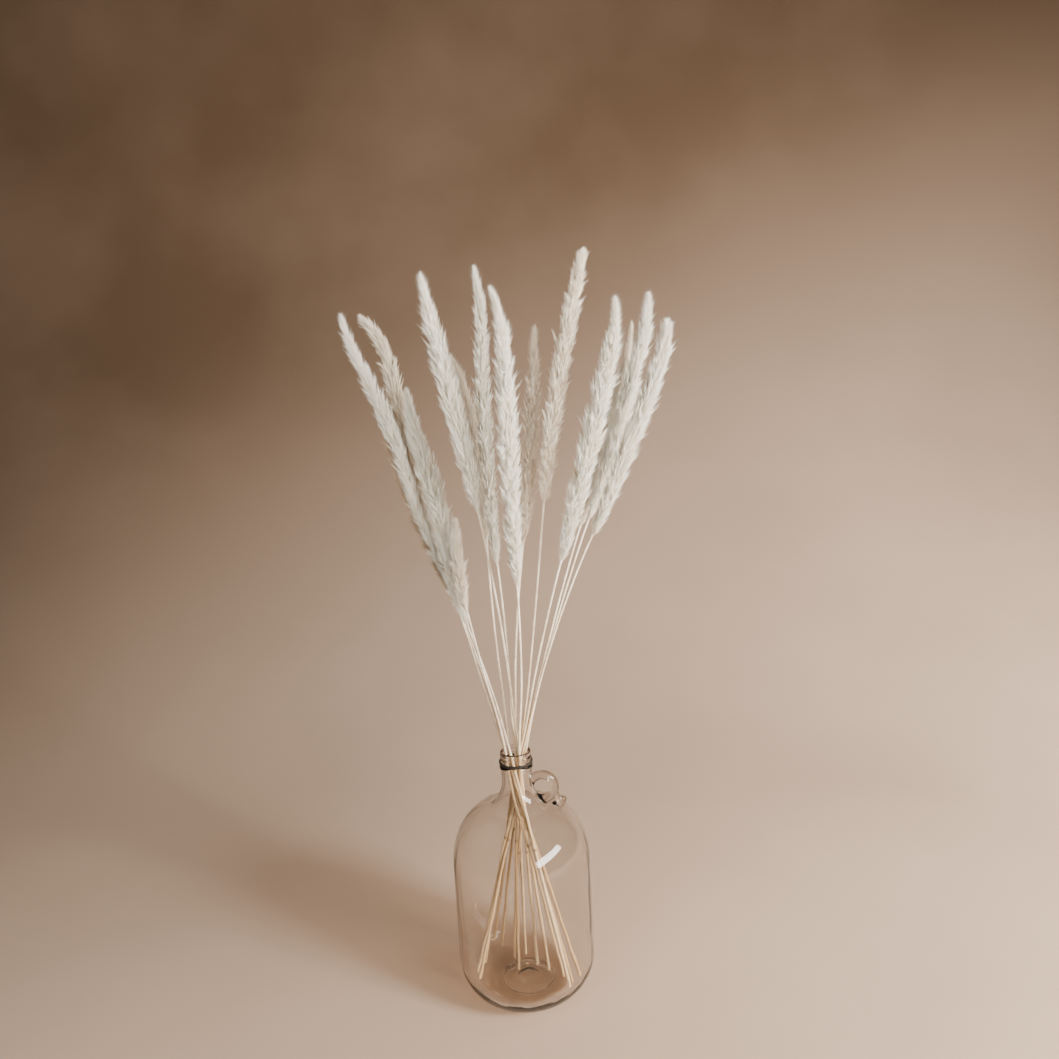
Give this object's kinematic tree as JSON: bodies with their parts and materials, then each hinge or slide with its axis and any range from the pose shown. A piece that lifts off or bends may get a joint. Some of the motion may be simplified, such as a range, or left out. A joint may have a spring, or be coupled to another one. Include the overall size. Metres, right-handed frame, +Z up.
{
  "type": "pampas grass bunch in a glass jug",
  "caption": "Bunch of dried pampas grass, its bare stems crossing in the neck of a clear glass jug with a finger ring and its feathery cream plumes fanning out above.",
  "frame": {"origin": "centre of the jug's flat base, on the surface it stands on", "axes": "+Z up along the jug's axis, +X to the side of the finger ring, +Y to the back"},
  "size_m": [0.3524, 0.1905, 0.8215],
  "materials": {
    "clear_glass": "clear pressed glass with a faint grey-brown tint, smooth and glossy",
    "black_band": "thin black plastic band, satin",
    "dried_stem": "dried grass culm, pale straw with fine length-wise fibres, duller at the joints",
    "cream_plume": "silky dried plume, ivory white, matt with a soft sheen",
    "warm_plume": "silky dried plume, warm cream, matt with a soft sheen"
  },
  "bodies": {
    "root": {"jug": "clear_glass", "finger_ring": "clear_glass", "neck_band": "black_band", "stem_01": "dried_stem", "stem_02": "dried_stem", "stem_03": "dried_stem", "stem_04": "dried_stem", "stem_05": "dried_stem", "stem_06": "dried_stem", "stem_07": "dried_stem", "stem_08": "dried_stem", "stem_09": "dried_stem", "stem_10": "dried_stem", "stem_11": "dried_stem", "stem_12": "dried_stem", "stem_13": "dried_stem", "stem_14": "dried_stem", "plume_01": "cream_plume", "plume_02": "warm_plume", "plume_03": "cream_plume", "plume_04": "warm_plume", "plume_05": "cream_plume", "plume_06": "warm_plume", "plume_07": "cream_plume", "plume_08": "cream_plume", "plume_09": "warm_plume", "plume_10": "warm_plume", "plume_11": "cream_plume", "plume_12": "warm_plume", "plume_13": "cream_plume", "plume_14": "cream_plume"}
  },
  "joints": []
}
